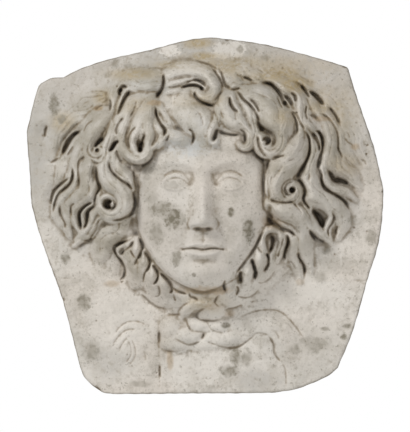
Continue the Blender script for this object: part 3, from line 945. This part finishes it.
marble = {
    "base": colour(202, 197, 188),
    "pale": colour(221, 215, 206),
    "grey": colour(172, 168, 161),
    "mottle": colour(176, 169, 157),
    "pink": colour(213, 202, 190),
    "rim": colour(104, 92, 74),
    "grime": colour(150, 141, 121),
    "tan": colour(170, 149, 107),
    "brown": colour(120, 102, 74),
    "dirt": colour(46, 38, 26),
    "blotch": colour(124, 117, 101),
    "blue": colour(184, 188, 190),
    "rust": colour(166, 140, 104),
    "roughness": (0.52, 0.76),
    "specular": 0.35,
    # Places on the sketch: centre, half sizes and strength
    "tanPatches": [(344, 112, 16, 26, 0.3), (326, 96, 14, 10, 0.3), (240, 66, 74, 10, 0.55),
                   (196, 101, 24, 7, 0.5), (275, 74, 36, 9, 0.75), (338, 114, 8, 14, 0.5),
                   (198, 43, 13, 5, 0.8), (206, 303, 22, 9, 0.6), (134, 74, 28, 6, 0.6),
                   (176, 66, 20, 5, 0.6), (103, 97, 8, 8, 0.6), (284, 118, 12, 9, 0.5),
                   (296, 84, 16, 10, 0.85), (345, 165, 14, 10, 0.4), (205, 57, 14, 4, 0.8),
                   (62, 122, 12, 9, 0.5), (320, 108, 12, 8, 0.5), (134, 106, 20, 8, 0.35)],
    "rustPatches": [(272, 222, 9, 8, 0.5), (155, 104, 7, 3, 0.6), (98, 109, 5, 2.5, 0.7),
                    (322, 119, 9, 2.5, 0.5), (355, 147, 4, 3, 0.5), (230, 313, 5, 3.5, 0.7),
                    (170, 360, 3, 10, 0.5), (213, 306, 10, 3, 0.4), (204, 290, 24, 4, 0.6),
                    (112, 284, 7, 3, 0.4), (300, 282, 4, 3, 0.4)],
    "palePatches": [(169, 51, 9, 7, 0.9), (230, 50, 17, 9, 0.7), (215, 55, 5, 3.5, 0.8),
                    (290, 296, 60, 13, 0.5), (120, 318, 36, 28, 0.5), (340, 212, 20, 16, 0.4),
                    (176, 120, 14, 12, 0.3), (190, 372, 34, 14, 0.4), (173.5, 104, 1.1, 9, 0.9),
                    (182, 93.5, 9, 1.1, 0.8), (290, 283, 50, 1.6, 0.7), (341, 252, 1.0, 18, 0.5),
                    (224, 306, 1.4, 12, 0.6), (156, 75, 5, 5, 0.5), (78, 118, 10, 7, 0.4),
                    (196, 78, 24, 11, 0.45), (330, 208, 18, 26, 0.4), (60, 168, 9, 10, 0.4),
                    (300, 170, 22, 34, 0.25)],
    "greyPatches": [(34, 148, 18, 48, 0.6), (352, 120, 16, 40, 0.45), (350, 212, 12, 14, 0.4),
                    (110, 362, 18, 15, 0.4), (256, 380, 20, 10, 0.5), (163, 205, 32, 44, 0.2),
                    (205, 66, 190, 46, 0.5), (60, 120, 46, 46, 0.5), (345, 110, 40, 60, 0.45),
                    (210, 236, 50, 30, 0.25), (305, 350, 44, 22, 0.15), (80, 190, 34, 56, 0.45)],
    "blotches": [(173, 217, 8, 9, 1.0), (162, 209, 12, 7, 0.8), (182, 219, 4, 6, 0.6),
                 (148, 178, 4, 3, 0.5), (153, 199, 6, 6, 0.4), (172, 186, 7, 4, 0.4), (176, 224, 4, 5, 0.8),
                 (157, 234, 6, 11, 0.6), (150, 170, 8, 5, 0.6), (177, 258, 5, 7, 0.7),
                 (248, 230, 5, 11, 1.0), (231, 212, 3.2, 4, 1.0), (194, 274, 2, 2, 0.8),
                 (84, 302, 6, 8, 0.8), (66, 258, 4, 5, 0.8), (92, 352, 7, 9, 0.6), (236, 356, 5, 10, 0.8),
                 (230, 371, 9, 5, 0.8), (316, 346, 12, 5, 0.6), (372, 237, 5, 7, 0.6),
                 (327, 250, 5, 4, 0.6), (353, 220, 4, 4, 0.6), (54, 106, 4, 9, 0.8), (62, 119, 4, 3.5, 0.7),
                 (347, 326, 4, 2.5, 0.9), (325, 329, 4, 2, 0.9), (320, 277, 6, 5, 0.5),
                 (315, 344, 13, 7, 0.5), (246, 358, 6, 7, 0.6), (294, 350, 6, 4, 0.5),
                 (344, 337, 3, 3, 0.9), (226, 325, 4, 2.5, 0.9), (240, 50, 3, 3, 0.7), (115, 64, 4, 5, 0.6),
                 (128, 66, 4, 3, 0.5), (265, 58, 5, 3, 0.5), (107, 75, 4, 3, 0.5), (296, 348, 3, 4, 0.7),
                 (140, 384, 9, 3, 0.5)],
    "rubbedPatches": [(253, 70, 12, 8, 0.4), (184, 97, 12, 9, 0.5), (232, 118, 11, 9, 0.4),
                      (150, 168, 12, 9, 0.5), (257, 168, 10, 10, 0.5), (306, 246, 24, 24, 0.4),
                      (278, 286, 14, 11, 0.5), (234, 308, 18, 9, 0.5), (178, 307, 12, 8, 0.4),
                      (190, 76, 24, 11, 0.6), (322, 205, 16, 28, 0.55), (268, 266, 22, 22, 0.35),
                      (197, 326, 30, 18, 0.4), (322, 330, 30, 34, 0.4), (184, 119, 22, 12, 0.35),
                      (284, 213, 14, 9, 0.45), (62, 170, 9, 9, 0.4), (250, 108, 10, 9, 0.3),
                      (302, 212, 8, 10, 0.3), (330, 206, 10, 12, 0.3), (138, 90, 18, 6, 0.3)],
    "bluePatches": [(190, 146, 24, 9, 0.6), (186, 126, 18, 10, 0.4), (186, 76, 16, 6, 0.5),
                    (150, 88, 18, 8, 0.4)],
}


def marbleFinish():
    maker = Maker("marble")
    place = maker.node("ShaderNodeTexCoord", {}, (), "Object")
    hollow = maker.attribute("hollow")
    grime = maker.attribute("grime")
    ridge = maker.attribute("ridge")
    broad = maker.noise(place, 9.0, 4.0)
    medium = maker.noise(place, 34.0, 5.0, 0.6)
    small = maker.noise(place, 150.0, 4.0, 0.6)
    fine = maker.noise(place, 620.0, 3.0)
    ragged = (small - 0.5) * 4.4 + (medium - 0.5) * 3.6

    def patches(places, soft):
        # Stains with ragged borders at stated places of the sketch
        total = None
        for x, y, halfX, halfY, strength in places:
            square = sketch["square"]
            centre = ((x - sketch["centre"][0]) * square, 0.0, (sketch["centre"][1] - y) * square)
            moved = maker.vector("SUBTRACT", (place, centre))
            scaled = maker.vector("MULTIPLY", (moved, (1 / (halfX * square), 0.0, 1 / (halfY * square))))
            away = maker.vector("LENGTH", (scaled,), "Value")
            least = min(halfX, halfY)
            away = away + ragged * min(0.5, 0.12 * least, 6 / least)
            mask = maker.ramp(away, 1.0 + soft, 1.0 - soft, 0.0, strength)
            total = mask if total is None else total.maths("MAXIMUM", mask)
        return total

    tone = maker.mix(maker.ramp(broad, 0.4, 0.6), marble["pale"], marble["base"])
    tone = maker.mix(maker.ramp(maker.noise(place, 5.0, 2.0), 0.45, 0.6) * 0.45, tone, marble["pink"])
    tone = maker.mix(patches(marble["greyPatches"], 0.6), tone, marble["grey"])
    tone = maker.mix(maker.ramp(medium, 0.47, 0.64) * 0.4, tone, marble["mottle"])
    crystals = maker.ramp(small, 0.48, 0.66) * maker.ramp(medium, 0.42, 0.6, 0.2, 0.6)
    tone = maker.mix(crystals, tone, marble["mottle"])
    crystals = maker.ramp(maker.noise(place, 300.0, 4.0, 0.75), 0.48, 0.66)
    tone = maker.mix(crystals * maker.ramp(broad, 0.4, 0.58, 0.2, 0.45), tone, marble["mottle"])
    tone = maker.mix(patches(marble["palePatches"], 0.2), tone, marble["pale"])
    tone = maker.mix(patches(marble["bluePatches"], 0.6), tone, marble["blue"])
    tone = maker.mix(grime * maker.ramp(medium, 0.35, 0.6, 0.22, 0.52), tone, marble["grime"])
    stain = patches(marble["tanPatches"], 0.6) * maker.ramp(small, 0.35, 0.6, 0.5, 1.0)
    tone = maker.mix(stain, tone, marble["tan"])
    tone = maker.mix(patches(marble["rustPatches"], 0.5), tone, marble["rust"])
    tone = maker.mix(patches(marble["rubbedPatches"], 0.7), tone, marble["pale"])
    stain = patches(marble["blotches"], 0.5) * maker.ramp(small, 0.62, 0.4, 0.6, 1.0)
    tone = maker.mix(stain, tone, marble["blotch"])
    rubbed = maker.ramp(ridge, 0.15, 0.9) * maker.ramp(medium, 0.6, 0.4, 0.1, 0.45)
    tone = maker.mix(rubbed, tone, marble["pale"])
    warm = maker.ramp(hollow + (small - 0.5) * 0.3, 0.06, 0.5) * maker.ramp(medium, 0.3, 0.6, 0.6, 1.0)
    tone = maker.mix(warm * 0.7, tone, marble["brown"])
    tone = maker.mix(maker.ramp(hollow + (small - 0.5) * 0.3, 0.39, 0.88) * 0.86, tone, marble["dirt"])
    rim = maker.attribute("rim")
    tone = maker.mix(rim * maker.ramp(medium, 0.35, 0.6, 0.35, 0.85), tone, marble["rim"])
    specks = maker.ramp(maker.noise(place, 210.0, 2.0, 0.5), 0.64, 0.72)
    tone = maker.mix(specks * 0.4, tone, marble["blotch"])
    maker.feed(maker.shader.inputs["Base Color"], tone)
    smoothest, roughest = marble["roughness"]
    sheen = maker.ramp(medium + (fine - 0.5) * 0.3, 0.3, 0.7, smoothest, roughest)
    maker.feed(maker.shader.inputs["Roughness"], sheen)
    maker.shader.inputs["Specular IOR Level"].default_value = marble["specular"]
    grainHeight = (small - 0.5) * 0.0009 + (fine - 0.5) * 0.0003 - specks * 0.0004
    grain = maker.node("ShaderNodeBump", {}, {"Strength": 0.7, "Distance": 1.0, "Height": grainHeight})
    maker.feed(maker.shader.inputs["Normal"], grain)
    return maker.material


plaque = carvePlaque()
plaque.data.materials.append(marbleFinish())
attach(plaque, "root")
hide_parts("relief_plaque")
print("marble finished")


# The studio: pale floor, soft lamps and a long lens straight in front
studio = {
    "floorDrop": 0.95,
    "floorRadius": 4.0,
    "floorColour": (0.86, 0.86, 0.85, 1.0),
    "floorRoughness": 0.9,
    "skyColour": (1.0, 1.0, 1.0, 1.0),
    "skyStrength": 0.42,
    "cameraDistance": 6.0,
    "cameraShift": -0.2,  # squares to the side
    "sensorHeight": 36.0,
    "photoWidth": 410,
    "photoHeight": 432,
    "lamps": {
        "key": dict(at=(-2.6, -3.1, 2.9), size=1.3, watts=120.0),
        "fill": dict(at=(2.4, -2.4, 0.2), size=1.8, watts=14.0),
        "front": dict(at=(-0.3, -3.4, 0.3), size=1.6, watts=4.0),
    },
}


def buildFloor():
    bm = bmesh.new()
    bmesh.ops.create_circle(bm, cap_ends=True, segments=96, radius=studio["floorRadius"])
    for vert in bm.verts:
        vert.co.z = -studio["floorDrop"]
    mesh = bpy.data.meshes.new("floor")
    bm.to_mesh(mesh)
    bm.free()
    floor = bpy.data.objects.new("floor", mesh)
    bpy.context.scene.collection.objects.link(floor)
    maker = Maker("floorPaint")
    maker.shader.inputs["Base Color"].default_value = studio["floorColour"]
    maker.shader.inputs["Roughness"].default_value = studio["floorRoughness"]
    mesh.materials.append(maker.material)


def aim(thing, target=(0.0, -0.05, 0.0)):
    spot = np.array(target) - np.array(thing.location)
    yaw = math.atan2(spot[0], spot[1])
    pitch = math.atan2(spot[2], math.hypot(spot[0], spot[1]))
    thing.rotation_euler = (math.pi / 2 + pitch, 0.0, -yaw)


def buildLight():
    world = bpy.data.worlds.new("softSky")
    bpy.context.scene.world = world
    world.use_nodes = True
    tree = world.node_tree
    sky = tree.nodes["Background"]
    sky.inputs["Color"].default_value = studio["skyColour"]
    sky.inputs["Strength"].default_value = studio["skyStrength"]
    paper = tree.nodes.new("ShaderNodeBackground")  # what is seen behind the plaque is plain white
    paper.inputs["Color"].default_value = studio["skyColour"]
    seen = tree.nodes.new("ShaderNodeLightPath")
    either = tree.nodes.new("ShaderNodeMixShader")
    tree.links.new(seen.outputs["Is Camera Ray"], either.inputs[0])
    tree.links.new(sky.outputs[0], either.inputs[1])
    tree.links.new(paper.outputs[0], either.inputs[2])
    tree.links.new(either.outputs[0], tree.nodes["World Output"].inputs["Surface"])
    for name, lamp in studio["lamps"].items():
        light = bpy.data.lights.new(name, "AREA")
        light.shape = "DISK"
        light.size = lamp["size"]
        light.energy = lamp["watts"]
        holder = bpy.data.objects.new(name, light)
        holder.location = lamp["at"]
        aim(holder)
        bpy.context.scene.collection.objects.link(holder)


def buildCamera():
    eye = bpy.data.cameras.new("photoCamera")
    holder = bpy.data.objects.new("photoCamera", eye)
    bpy.context.scene.collection.objects.link(holder)
    faceDepth = slab["thick"] * sketch["square"]
    holder.location = (studio["cameraShift"] * sketch["square"], -studio["cameraDistance"], 0.0)
    holder.rotation_euler = (math.pi / 2, 0.0, 0.0)
    eye.sensor_fit = "VERTICAL"
    eye.sensor_height = studio["sensorHeight"]
    seen = studio["photoHeight"] * sketch["square"]
    eye.lens = eye.sensor_height * (studio["cameraDistance"] - faceDepth) / seen
    bpy.context.scene.camera = holder


buildFloor()
buildLight()
buildCamera()
bpy.context.scene.view_settings.view_transform = "Standard"
print("studio ready")
